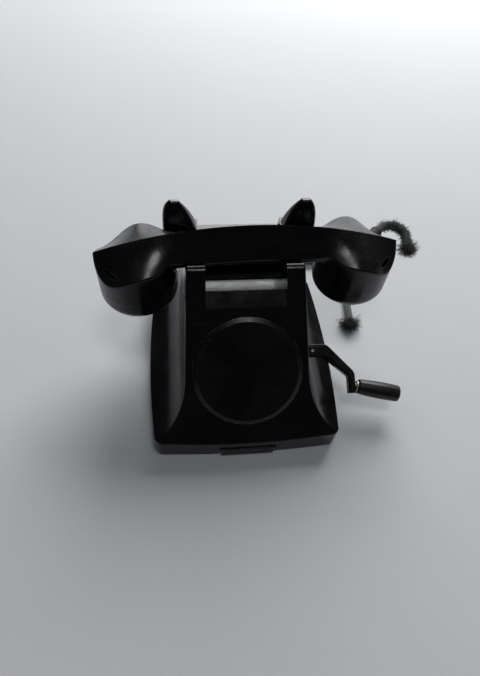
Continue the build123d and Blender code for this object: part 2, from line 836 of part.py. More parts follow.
armature_half_length = pole_half_length - armature_end_gap
with BuildPart() as armature_core:
    with BuildSketch(Plane.YZ.offset(-armature_half_length)):
        with Locations((armature_y, crank_z)):
            Circle(armature_radius)
            with Locations((armature_web_half, 0)):
                Rectangle(
                    armature_radius, armature_slot, align=(Align.MIN, Align.CENTER), mode=Mode.SUBTRACT
                )
            with Locations((-armature_web_half, 0)):
                Rectangle(
                    armature_radius, armature_slot, align=(Align.MAX, Align.CENTER), mode=Mode.SUBTRACT
                )
    extrude(amount=2 * armature_half_length)
    with BuildSketch(Plane.YZ.offset(-armature_half_length)):
        with Locations((armature_y, crank_z)):
            Circle(armature_shaft_radius)
    extrude(amount=2 * armature_half_length, mode=Mode.SUBTRACT)
save(armature_core, "armature_core")

with BuildPart() as armature_winding:
    with BuildSketch(Plane.YZ.offset(-armature_half_length)):
        with Locations((armature_y - armature_web_half, crank_z)):
            Rectangle(armature_slot / 2, armature_slot, align=(Align.MAX, Align.CENTER))
        with Locations((armature_y + armature_web_half, crank_z)):
            Rectangle(armature_slot / 2, armature_slot, align=(Align.MIN, Align.CENTER))
    extrude(amount=2 * armature_half_length)
save(armature_winding, "armature_winding")

with BuildPart() as armature_shaft:
    with BuildSketch(Plane.YZ.offset(-pole_half_length - frame_plate)):
        with Locations((armature_y, crank_z)):
            Circle(armature_shaft_radius)
    extrude(amount=2 * pole_half_length + 2 * frame_plate + gear_bay - side_gap)
save(armature_shaft, "armature_shaft")

frame_depth = frame_back_y - frame_front_y
with BuildPart() as magneto_frame:
    with BuildSketch(Plane.XY.offset(plate_top_z)):
        with Locations((-pole_half_length - frame_plate, frame_front_y)):
            Rectangle(right_plate_x + 2 * frame_plate + pole_half_length, frame_depth, align=Align.MIN)
    extrude(amount=frame_plate)
    for plate_x in (-pole_half_length - frame_plate, pole_half_length, right_plate_x):
        with BuildSketch(Plane.YZ.offset(plate_x)):
            with Locations((frame_front_y, plate_top_z)):
                Rectangle(frame_depth, frame_top_z - plate_top_z, align=Align.MIN)
        extrude(amount=frame_plate)
    with BuildSketch(Plane.YZ.offset(-right_plate_x)):
        with Locations((armature_y, crank_z)):
            Circle(armature_shaft_radius + running_gap)
    extrude(amount=2 * right_plate_x, mode=Mode.SUBTRACT)
    with BuildSketch(Plane.YZ):
        with Locations((crank_y, crank_z)):
            Circle(crank_shaft_radius + running_gap)
    extrude(amount=right_plate_x, mode=Mode.SUBTRACT)
    with BuildSketch(Plane.YZ.offset(right_plate_x)):
        with Locations((crank_y, crank_z)):
            Circle(crank_shaft_radius + bushing_wall)
    extrude(amount=frame_plate, mode=Mode.SUBTRACT)
save(magneto_frame, "magneto_frame")

with BuildPart() as crank_bushing:
    with BuildSketch(Plane.YZ.offset(right_plate_x)):
        with Locations((crank_y, crank_z)):
            Circle(crank_shaft_radius + bushing_wall)
            Circle(crank_shaft_radius + running_gap, mode=Mode.SUBTRACT)
    extrude(amount=crank_hub_x - bushing_end_gap - right_plate_x)
save(crank_bushing, "crank_bushing")

with BuildPart() as pole_shoes:
    with BuildSketch(Plane.YZ):
        with Locations((armature_y, crank_z)):
            Rectangle(2 * pole_half, pole_height)
            Circle(armature_radius + pole_gap, mode=Mode.SUBTRACT)
            Rectangle(pole_split, 2 * pole_height, mode=Mode.SUBTRACT)
    extrude(amount=pole_half_length, both=True)
save(pole_shoes, "pole_shoes")

with BuildPart() as horseshoe_magnets:
    for place in range(magnet_count):
        magnet_x = (place - (magnet_count - 1) / 2) * magnet_pitch
        with BuildSketch(Plane.YZ.offset(magnet_x)) as bow:
            with Locations((armature_y, magnet_bow_z)):
                Circle(pole_half + magnet_thickness)
                Circle(pole_half, mode=Mode.SUBTRACT)
                Rectangle(
                    4 * pole_half, 2 * pole_half, align=(Align.CENTER, Align.MAX), mode=Mode.SUBTRACT
                )
            for side in (-1, 1):
                with Locations((armature_y + side * (pole_half + magnet_thickness / 2), magnet_bow_z)):
                    Rectangle(
                        magnet_thickness,
                        magnet_bow_z - crank_z + pole_height / 2,
                        align=(Align.CENTER, Align.MAX),
                    )
        extrude(amount=magnet_width / 2, both=True)
save(horseshoe_magnets, "horseshoe_magnets")

# ---------------------------------------------------------------- ringer

gong_x = gong_radius + clapper_ball_radius + clapper_ball_gap
gong_top_z = gong_rim_z + gong_height
for side, gong_name in ((-1, "left_gong"), (1, "right_gong")):
    with BuildPart() as gong:
        with BuildSketch(Plane.XY.offset(gong_rim_z)):
            with Locations((side * gong_x, ringer_y)):
                Circle(gong_radius)
        extrude(amount=gong_height)
        fillet(gong.faces().sort_by(Axis.Z)[-1].edges(), gong_dome_round)
        offset(amount=-gong_wall, openings=gong.faces().sort_by(Axis.Z)[0])
        with BuildSketch(Plane.XY.offset(gong_top_z)):
            with Locations((side * gong_x, ringer_y)):
                Circle(gong_post_radius / 2)
        extrude(amount=-2 * gong_wall, mode=Mode.SUBTRACT)
    save(gong, gong_name)

gong_places = [(side * gong_x, ringer_y) for side in (-1, 1)]
with BuildPart() as gong_posts:
    with BuildSketch(Plane.XY.offset(plate_top_z)):
        with Locations(*gong_places):
            Circle(gong_post_radius)
    extrude(amount=gong_top_z - gong_wall - plate_top_z)
    with BuildSketch(Plane.XY.offset(gong_top_z)):
        with Locations(*gong_places):
            Circle(gong_post_radius / 2)
    extrude(amount=-2 * gong_height, mode=Mode.SUBTRACT)
save(gong_posts, "gong_posts")

with BuildPart() as gong_screws:
    with BuildSketch(Plane.XY.offset(gong_top_z)):
        with Locations(*gong_places):
            Circle(gong_screw_head)
            Rectangle(2 * gong_screw_head, screw_slot, mode=Mode.SUBTRACT)
    extrude(amount=screw_head_height)
    with BuildSketch(Plane.XY.offset(gong_top_z + screw_head_height / 2)):
        with Locations(*gong_places):
            Circle(gong_post_radius / 2)
    extrude(amount=-screw_head_height / 2 - gong_height)
save(gong_screws, "gong_screws")

coil_places = [(side * coil_pitch / 2, ringer_y) for side in (-1, 1)]
with BuildPart() as ringer_frame:
    with BuildSketch(Plane.XY.offset(plate_top_z)):
        with Locations((0, ringer_y)):
            Rectangle(2 * ringer_frame_half, ringer_frame_depth)
    extrude(amount=frame_plate)
    for side in (-1, 1):
        with BuildSketch(Plane.XY.offset(plate_top_z)):
            with Locations((0, ringer_y + side * (ringer_frame_depth - ringer_upright) / 2)):
                Rectangle(clapper_bar_width, ringer_upright)
        extrude(amount=clapper_pivot_z + clapper_hub_radius - plate_top_z)
    with BuildSketch(Plane.XZ.offset(-ringer_y)):
        with Locations((0, clapper_pivot_z)):
            Circle(clapper_pin_radius)
    extrude(amount=ringer_frame_depth, both=True, mode=Mode.SUBTRACT)
save(ringer_frame, "ringer_frame")

with BuildPart() as ringer_cores:
    with BuildSketch(Plane.XY.offset(plate_top_z + frame_plate)):
        with Locations(*coil_places):
            Circle(core_radius)
    extrude(amount=coil_bottom_z + coil_height + side_gap - plate_top_z - frame_plate)
save(ringer_cores, "ringer_cores")

with BuildPart() as ringer_coils:
    with BuildSketch(Plane.XY.offset(coil_bottom_z)):
        with Locations(*coil_places):
            Circle(coil_radius)
            Circle(core_radius, mode=Mode.SUBTRACT)
    extrude(amount=coil_height)
save(ringer_coils, "ringer_coils")

with BuildPart() as clapper_pin:
    with BuildSketch(Plane.XZ.offset(-ringer_y)):
        with Locations((0, clapper_pivot_z)):
            Circle(clapper_pin_radius)
    extrude(amount=ringer_frame_depth / 2 + side_gap, both=True)
save(clapper_pin, "clapper_pin")

with BuildPart() as clapper:
    with BuildSketch(Plane.XZ.offset(-ringer_y)):
        with Locations((0, clapper_pivot_z)):
            Circle(clapper_hub_radius)
            Rectangle(2 * clapper_bar_half, lever_thickness)
    extrude(amount=clapper_bar_width / 2, both=True)
    with BuildSketch(Plane.XY.offset(clapper_pivot_z)):
        with Locations((0, ringer_y)):
            Circle(clapper_rod_radius)
    extrude(amount=clapper_ball_z - clapper_pivot_z)
    with Locations((0, ringer_y, clapper_ball_z)):
        Sphere(clapper_ball_radius)
    with BuildSketch(Plane.XZ.offset(-ringer_y)):
        with Locations((0, clapper_pivot_z)):
            Circle(clapper_pin_radius + running_gap)
    extrude(amount=clapper_bar_width, both=True, mode=Mode.SUBTRACT)
save(clapper, "clapper")

# ---------------------------------------------------------------- hook switch

with BuildPart() as hook_plungers:
    with BuildSketch(Plane.XY.offset(yoke_z)):
        with Locations((0, handset_y)):
            Rectangle(2 * (plunger_x + plunger_radius), yoke_depth)
    extrude(amount=yoke_height)
    with BuildSketch(Plane.XY.offset(yoke_z + yoke_height)):
        with Locations(*plunger_places):
            Circle(plunger_radius)
    extrude(amount=grip_under_z - plunger_gap - yoke_z - yoke_height)
    fillet(hook_plungers.edges().group_by(Axis.Z)[-1], plunger_radius / 3)
save(hook_plungers, "hook_plungers")

bracket_screw_places = [(side * bracket_screw_x, lever_pivot_y + bracket_screw_back) for side in (-1, 1)]
with BuildPart() as hook_bracket:
    with BuildSketch(Plane.XY.offset(ceiling_z - bracket_thickness)):
        with Locations((0, lever_pivot_y)):
            Rectangle(2 * bracket_half, bracket_depth)
        with Locations(*bracket_screw_places):
            Circle(screw_radius, mode=Mode.SUBTRACT)
    extrude(amount=bracket_thickness)
    for side in (-1, 1):
        with BuildSketch(Plane.YZ.offset(side * (lever_half_width + side_gap + bracket_ear / 2))):
            with Locations((lever_pivot_y, lever_pivot_z)):
                Circle(lever_hub_radius)
                Rectangle(
                    2 * lever_hub_radius, ceiling_z - lever_pivot_z, align=(Align.CENTER, Align.MIN)
                )
                Circle(lever_pin_radius, mode=Mode.SUBTRACT)
        extrude(amount=bracket_ear / 2, both=True)
save(hook_bracket, "hook_bracket")

with BuildPart() as hook_bracket_screws:
    with BuildSketch(Plane.XY.offset(ceiling_z - bracket_thickness)):
        with Locations(*bracket_screw_places):
            Circle(screw_radius)
    extrude(amount=bracket_thickness)
    with BuildSketch(Plane.XY.offset(ceiling_z - bracket_thickness)):
        with Locations(*bracket_screw_places):
            Circle(screw_head_radius)
    extrude(amount=-screw_head_height)
save(hook_bracket_screws, "hook_bracket_screws")

with BuildPart() as lever_pin:
    with BuildSketch(Plane.YZ):
        with Locations((lever_pivot_y, lever_pivot_z)):
            Circle(lever_pin_radius)
    extrude(amount=lever_half_width + 2 * side_gap + bracket_ear, both=True)
save(lever_pin, "lever_pin")

with BuildPart() as hook_lever:
    with BuildSketch(Plane.YZ):
        with Locations((lever_pivot_y, lever_pivot_z)):
            Circle(lever_hub_radius)
        with Locations((lever_pivot_y, yoke_z - side_gap)):
            Rectangle(
                lever_pivot_y - handset_y + yoke_depth / 2, lever_thickness, align=(Align.MAX, Align.MAX)
            )
        with Locations((lever_pivot_y, lever_pivot_z)):
            Circle(lever_pin_radius + running_gap, mode=Mode.SUBTRACT)
    extrude(amount=lever_half_width, both=True)
save(hook_lever, "hook_lever")

contact_low_z = contact_top_z - (contact_count - 1) * contact_pitch
with BuildPart() as contact_springs:
    for leaf in range(contact_count):
        with BuildSketch(Plane.XY.offset(contact_low_z + leaf * contact_pitch)):
            with Locations((0, lever_pivot_y + bracket_depth / 2)):
                Rectangle(lever_half_width, contact_reach, align=(Align.CENTER, Align.MAX))
        extrude(amount=contact_thickness)
save(contact_springs, "contact_springs")

with BuildPart() as contact_block:
    with BuildSketch(Plane.XY.offset(contact_low_z - contact_pitch)):
        with Locations((0, lever_pivot_y + bracket_depth / 2)):
            Rectangle(2 * lever_half_width, contact_block_depth, align=(Align.CENTER, Align.MAX))
    extrude(amount=ceiling_z - bracket_thickness - contact_low_z + contact_pitch)
    add(contact_springs.part, mode=Mode.SUBTRACT)
save(contact_block, "contact_block")

# ---------------------------------------------------------------- electrical pieces

with BuildPart() as capacitor:
    with BuildSketch(Plane.XY.offset(plate_top_z)):
        with Locations(capacitor_place):
            Rectangle(capacitor_size[0], capacitor_size[1])
    extrude(amount=capacitor_size[2])
    chamfer(capacitor.edges().group_by(Axis.Z)[-1], foot_chamfer)
save(capacitor, "capacitor")

former_width, former_length, former_height = coil_former
former_z = plate_top_z + former_height / 2
with BuildPart() as induction_coil:
    with Locations((coil_former_place[0], coil_former_place[1], former_z)):
        Box(former_width, former_length, former_height)
    with BuildSketch(Plane.XZ.offset(-coil_former_place[1])):
        with Locations((coil_former_place[0], former_z)):
            Rectangle(2 * former_width, 2 * former_height)
            Circle(former_width / 2 - coil_former_gap, mode=Mode.SUBTRACT)
    extrude(amount=former_length / 2 - coil_former_cheek, both=True, mode=Mode.SUBTRACT)
save(induction_coil, "induction_coil")

terminal_width, terminal_length, terminal_height = terminal_size
terminal_places = [
    (terminal_place[0] + side * terminal_width / 4, terminal_place[1] + step * terminal_pitch / 2)
    for side in (-1, 1)
    for step in range(1 - terminal_rows, terminal_rows, 2)
]
with BuildPart() as terminal_block:
    with BuildSketch(Plane.XY.offset(plate_top_z)):
        with Locations(terminal_place):
            Rectangle(terminal_width, terminal_length)
    extrude(amount=terminal_height)
    with BuildSketch(Plane.XY.offset(plate_top_z + terminal_height)):
        with Locations(*terminal_places):
            Circle(screw_radius)
    extrude(amount=-terminal_height / 2, mode=Mode.SUBTRACT)
save(terminal_block, "terminal_block")

with BuildPart() as terminal_screws:
    with BuildSketch(Plane.XY.offset(plate_top_z + terminal_height / 2)):
        with Locations(*terminal_places):
            Circle(screw_radius)
    extrude(amount=terminal_height / 2)
    with BuildSketch(Plane.XY.offset(plate_top_z + terminal_height)):
        with Locations(*terminal_places):
            Circle(terminal_pitch / 2 - side_gap)
            Rectangle(terminal_pitch, screw_slot, mode=Mode.SUBTRACT)
            Circle(screw_slot)
    extrude(amount=screw_head_height)
save(terminal_screws, "terminal_screws")

# ---------------------------------------------------------------- handset

head_half = head_spacing / 2
handset_half = head_half + head_radius
ridge_drop = ridge_mid_z - ridge_end_z
ridge_radius = (handset_half ** 2 + ridge_drop ** 2) / (2 * ridge_drop)
roof_half = head_radius + wall


def ridge_z(x):
    """Height of the handset's ridge, an arc, at a distance from its middle."""
    return ridge_mid_z - ridge_radius + sqrt(ridge_radius ** 2 - x ** 2)


def roof_section(x):
    """Slice of the roof-shaped upper form: steep facets over the grip, flat ones over the heads."""
    share = min(abs(x) / head_half, 1)
    slope = ridge_slope_head + (ridge_slope_mid - ridge_slope_head) * cos(share ** 2 * pi / 2) ** 2
    eaves = ridge_z(x) - roof_half * tan(radians(slope))
    with BuildSketch(Plane.YZ.offset(handset_x + x)) as section:
        with BuildLine():
            Polyline(
                (handset_y - roof_half, cap_bottom_z),
                (handset_y - roof_half, eaves),
                (handset_y, ridge_z(x)),
                (handset_y + roof_half, eaves),
                (handset_y + roof_half, cap_bottom_z),
                (handset_y - roof_half, cap_bottom_z),
            )
        make_face()
    return section.sketch


with BuildPart() as handset_roof:
    far = handset_half + wall
    loft([roof_section(-far + 2 * far * step / roof_slices) for step in range(roof_slices + 1)])

head_places = [(handset_x + side * head_half, handset_y) for side in (-1, 1)]
root_from = head_half - head_radius - grip_root_round
root_to = head_half - grip_head_half


def at_grip_root(edge):
    """Whether an edge lies where the grip runs into a head."""
    middle = edge @ 0.5
    return root_from < abs(middle.X - handset_x) < root_to and grip_under_z < middle.Z + 1 < ridge_mid_z


def at_eaves(edge):
    """Whether an edge is a long one between a facet of the roof and a side."""
    middle = edge @ 0.5
    beside_ridge = abs(middle.Y - handset_y) > grip_half / 2
    return edge.length > head_radius and beside_ridge and middle.Z > grip_under_z + 1


with BuildPart() as grip:
    with BuildSketch(Plane.XY.offset(grip_under_z)):
        with BuildLine():
            near_head, far_head = [(x, y - grip_head_half) for x, y in head_places]
            ThreePointArc(near_head, (handset_x, handset_y - grip_half), far_head)
            Line(far_head, head_places[1])
            Line(head_places[1], head_places[0])
            Line(head_places[0], near_head)
        make_face()
        mirror(about=Plane.XZ.offset(-handset_y))
    extrude(amount=ridge_mid_z - grip_under_z)
    fillet(grip.edges().group_by(Axis.Z)[0].filter_by(GeomType.CIRCLE), grip_under_round)

spigot_radius = head_radius - cap_wall - thread_gap
spigot_bottom_z = seam_z - spigot_height
cord_way = Vector(cos(radians(sleeve_azimuth)), sin(radians(sleeve_azimuth)), 0)
cord_head = Vector(head_places[1][0], head_places[1][1], sleeve_z)
sleeve_end = cord_head + cord_way * (head_radius + sleeve_length)
sleeve_plane = Plane(origin=sleeve_end, z_dir=-cord_way)
with BuildPart() as handset_body:
    with BuildSketch(Plane.XY.offset(seam_z)):
        with Locations(*head_places):
            Circle(head_radius)
    extrude(amount=ridge_mid_z - seam_z)
    add(grip.part)
    fillet(handset_body.edges().filter_by(at_grip_root), grip_root_round)
    add(handset_roof.part, mode=Mode.INTERSECT)
    fillet(handset_body.edges().filter_by(at_eaves), eaves_round)
    with BuildSketch(Plane.XY.offset(spigot_bottom_z)):
        with Locations(*head_places):
            Circle(spigot_radius)
    extrude(amount=spigot_height)
    with BuildSketch(Plane.XY.offset(spigot_bottom_z)):
        with Locations(*head_places):
            Circle(spigot_radius - spigot_wall)
    extrude(amount=head_ceiling_z - spigot_bottom_z, mode=Mode.SUBTRACT)
    with BuildSketch(Plane.XY.offset(head_ceiling_z)):
        with Locations(*head_places):
            Circle(head_pocket_radius)
    extrude(amount=head_pocket_z - head_ceiling_z, mode=Mode.SUBTRACT)
    with BuildSketch(Plane.YZ.offset(handset_x)):
        with Locations((handset_y, wire_bore_z)):
            Circle(wire_bore_radius)
    extrude(amount=head_half, both=True, mode=Mode.SUBTRACT)
    with BuildSketch(sleeve_plane):
        Circle(sleeve_radius)
    extrude(amount=sleeve_length + head_radius - head_pocket_radius, mode=Mode.SUBTRACT)
save(handset_body, "handset_body", handset_yaw)

with BuildPart() as handset_cord_sleeve:
    with BuildSketch(sleeve_plane):
        Circle(sleeve_radius)
    extrude(amount=sleeve_length + cap_wall + thread_gap + spigot_wall)
    fillet(handset_cord_sleeve.faces().sort_by(Axis(sleeve_end, cord_way))[-1].edges(), sleeve_round)
save(handset_cord_sleeve, "handset_cord_sleeve", handset_yaw)

ledge_z = spigot_bottom_z - capsule_rim
cap_top_z = seam_z - seam_gap
cap_swell = ((head_radius - cap_bottom_radius) ** 2 + (cap_waist_z - cap_bottom_z) ** 2) / (
    2 * (head_radius - cap_bottom_radius)
)
cap_mid_z = (cap_waist_z + cap_bottom_z) / 2
cap_mid_radius = head_radius - cap_swell + sqrt(cap_swell ** 2 - (cap_waist_z - cap_mid_z) ** 2)


def screwed_cap(place):
    """Turned cap on a head of the handset, with its sound holes."""
    with BuildPart() as cap:
        with BuildSketch(Plane.XZ):
            with BuildLine():
                Polyline(
                    (cap_bottom_radius, cap_bottom_z),
                    (0, cap_bottom_z),
                    (0, capsule_z - side_gap),
                    (capsule_radius, capsule_z - side_gap),
                    (capsule_radius, ledge_z),
                    (spigot_radius + thread_gap, ledge_z),
                    (spigot_radius + thread_gap, cap_top_z),
                    (head_radius, cap_top_z),
                    (head_radius, cap_waist_z),
                )
                ThreePointArc(
                    (head_radius, cap_waist_z), (cap_mid_radius, cap_mid_z), (cap_bottom_radius, cap_bottom_z)
                )
            make_face()
        revolve(axis=Axis.Z)
        fillet(cap.edges().group_by(Axis.Z)[0], cap_edge_round)
        with BuildSketch(Plane.XY.offset(cap_bottom_z)):
            Circle(sound_hole_radius)
            with PolarLocations(sound_ring_radius, sound_ring_holes):
                Circle(sound_hole_radius)
        extrude(amount=capsule_z - cap_bottom_z, mode=Mode.SUBTRACT)
    return cap.part.moved(Location((place[0], place[1], 0)))


with BuildPart() as ear_cap:
    add(screwed_cap(head_places[0]))
save(ear_cap, "ear_cap", handset_yaw)

with BuildPart() as mouthpiece_cap:
    add(screwed_cap(head_places[1]))
    with BuildSketch(Plane.XY.offset(cap_bottom_z)):
        with Locations(head_places[1]):
            Circle(mouth_rim_radius)
            Circle(mouth_rim_radius - cap_wall, mode=Mode.SUBTRACT)
    extrude(amount=-mouth_rim_height)
save(mouthpiece_cap, "mouthpiece_cap", handset_yaw)


def capsule(place):
    """Sound capsule whose rim is held between a cap's ledge and a spigot."""
    with BuildPart() as can:
        with BuildSketch(Plane.XY.offset(capsule_z)):
            with Locations(place):
                Circle(capsule_radius - side_gap)
        extrude(amount=spigot_bottom_z - capsule_z)
        chamfer(can.edges().group_by(Axis.Z)[0], foot_chamfer)
        with BuildSketch(Plane.XY.offset(ledge_z)):
            with Locations(place):
                Circle(spigot_radius)
        extrude(amount=capsule_rim)
    return can.part


with BuildPart() as receiver_capsule:
    add(capsule(head_places[0]))
save(receiver_capsule, "receiver_capsule", handset_yaw)

with BuildPart() as transmitter_capsule:
    add(capsule(head_places[1]))
    with BuildSketch(Plane.XY.offset(spigot_bottom_z)):
        with Locations(head_places[1]):
            Circle(head_pocket_radius)
    extrude(amount=capsule_rim)
save(transmitter_capsule, "transmitter_capsule", handset_yaw)

spring_foot, spring_width, spring_sheet = capsule_spring_size
with BuildPart() as capsule_springs:
    for head, low_z in zip(head_places, (spigot_bottom_z, spigot_bottom_z + capsule_rim)):
        with BuildSketch(Plane.XZ.offset(-head[1])):
            with Locations((head[0], low_z)):
                Rectangle(spring_foot, spring_sheet, align=(Align.CENTER, Align.MIN))
            with Locations((head[0] + spring_foot / 2, low_z)):
                Rectangle(spring_sheet, head_pocket_z - low_z, align=(Align.MAX, Align.MIN))
            with Locations((head[0], head_pocket_z)):
                Rectangle(spring_foot, spring_sheet, align=(Align.CENTER, Align.MAX))
        extrude(amount=spring_width / 2, both=True)
save(capsule_springs, "capsule_springs", handset_yaw)

# ---------------------------------------------------------------- cords


def cord_tube(corners, turn_radii):
    """Round cord along straight runs that are joined by tangent arcs."""
    with BuildPart() as tube:
        with BuildLine() as route:
            FilletPolyline(*corners, radius=turn_radii)
        with BuildSketch(Plane(origin=route.wire() @ 0, z_dir=route.wire() % 0)):
            Circle(cord_diameter / 2)
        sweep()
    print("cord", round(route.wire().length, 1), "mm long, turned at radii", turn_radii)
    return tube


handset_cord = cord_tube(
    [sleeve_end + Vector(reach) for reach in handset_cord_run], handset_cord_rounds
)
save(handset_cord, "handset_cord", handset_yaw)

inlet_face_y = half_depth + inlet_flange


def inlet_piece(x):
    """Moulded rubber piece in a cord opening of the rear wall, its flange outside."""
    with BuildPart() as piece:
        with BuildSketch(Plane.XZ.offset(-inlet_face_y)):
            with Locations((x, inlet_z)):
                Circle(inlet_radius + inlet_flange)
        extrude(amount=front_bow + inlet_flange)
        chamfer(piece.faces().sort_by(Axis.Y)[-1].edges(), inlet_flange / 2)
        add(outer_form.part, mode=Mode.SUBTRACT)
        with BuildSketch(Plane.XZ.offset(-inlet_face_y)):
            with Locations((x, inlet_z)):
                Circle(inlet_radius)
        extrude(amount=front_bow + wall + 2 * inlet_flange)
    return piece


base_cord_gland = inlet_piece(inlet_x)
save(base_cord_gland, "base_cord_gland")

with BuildPart() as line_cord_grommet:
    add(inlet_piece(-inlet_x).part)
    with BuildSketch(Plane.XZ.offset(-inlet_face_y)):
        with Locations((-inlet_x, inlet_z)):
            Circle(line_bore_radius)
    extrude(amount=half_depth / 2, mode=Mode.SUBTRACT)
save(line_cord_grommet, "line_cord_grommet")

cord_start = Vector(inlet_x, inlet_face_y, inlet_z)
base_cord = cord_tube([cord_start + Vector(reach) for reach in base_cord_run], base_cord_rounds)
save(base_cord, "base_cord")
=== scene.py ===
"""Crank telephone: looks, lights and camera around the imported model. Metres, +Z up, +Y to the back."""

import json
import math
import random

import bpy
from mathutils import Matrix, Vector


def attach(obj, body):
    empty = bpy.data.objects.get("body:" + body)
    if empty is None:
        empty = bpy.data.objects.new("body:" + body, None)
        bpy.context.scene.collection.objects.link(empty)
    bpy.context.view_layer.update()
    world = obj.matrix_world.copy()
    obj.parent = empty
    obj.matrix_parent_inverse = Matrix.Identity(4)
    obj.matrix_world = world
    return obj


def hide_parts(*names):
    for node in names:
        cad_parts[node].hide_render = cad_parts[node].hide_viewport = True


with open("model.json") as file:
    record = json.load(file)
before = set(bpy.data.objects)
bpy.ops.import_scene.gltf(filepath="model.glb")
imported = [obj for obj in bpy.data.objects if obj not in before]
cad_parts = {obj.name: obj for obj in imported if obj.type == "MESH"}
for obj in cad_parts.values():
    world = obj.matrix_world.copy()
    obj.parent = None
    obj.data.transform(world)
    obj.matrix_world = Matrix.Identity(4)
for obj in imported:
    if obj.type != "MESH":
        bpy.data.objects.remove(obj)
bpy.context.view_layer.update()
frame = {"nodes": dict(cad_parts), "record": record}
nodes = frame["nodes"]
scene = bpy.context.scene

# ---------------------------------------------------------------- camera

CAMERA_PLACE = Vector((-0.0428, -0.2412, 0.3950))
CAMERA_AZIMUTH, CAMERA_ELEVATION = math.radians(-9.786), math.radians(55.089)
CAMERA_ROLL = math.radians(5.843)
FOCAL_SHARE = 501.87 / 676      # focal length over the picture's long side
SENSOR_WIDTH = 36

camera_data = bpy.data.cameras.new("camera")
camera_data.sensor_width = SENSOR_WIDTH
camera_data.lens = SENSOR_WIDTH * FOCAL_SHARE
camera_data.clip_start = 0.01
camera = bpy.data.objects.new("camera", camera_data)
back = Vector((
    math.sin(CAMERA_AZIMUTH) * math.cos(CAMERA_ELEVATION),
    -math.cos(CAMERA_AZIMUTH) * math.cos(CAMERA_ELEVATION),
    math.sin(CAMERA_ELEVATION),
))
level_right = (-back).cross(Vector((0, 0, 1))).normalized()
level_up = level_right.cross(-back)
right = level_right * math.cos(CAMERA_ROLL) + level_up * math.sin(CAMERA_ROLL)
up = level_up * math.cos(CAMERA_ROLL) - level_right * math.sin(CAMERA_ROLL)
camera.matrix_world = Matrix.Translation(CAMERA_PLACE) @ Matrix((right, up, back)).transposed().to_4x4()
scene.collection.objects.link(camera)
scene.camera = camera
scene.view_settings.view_transform = "Standard"


# ---------------------------------------------------------------- material building blocks

EDGE_SAMPLES = 4
FLAT_COSINE, EDGE_COSINE = 0.995, 0.90      # between rounded and true normal, on a flat and on a full edge
SCRATCH_TURNS = ((0.3, 0.2, 0.5), (1.1, 0.4, 2.2), (0.2, 1.3, -0.7))
SCRATCH_CELLS = (14, 1500, 1500)            # to the metre, along and across a hairline


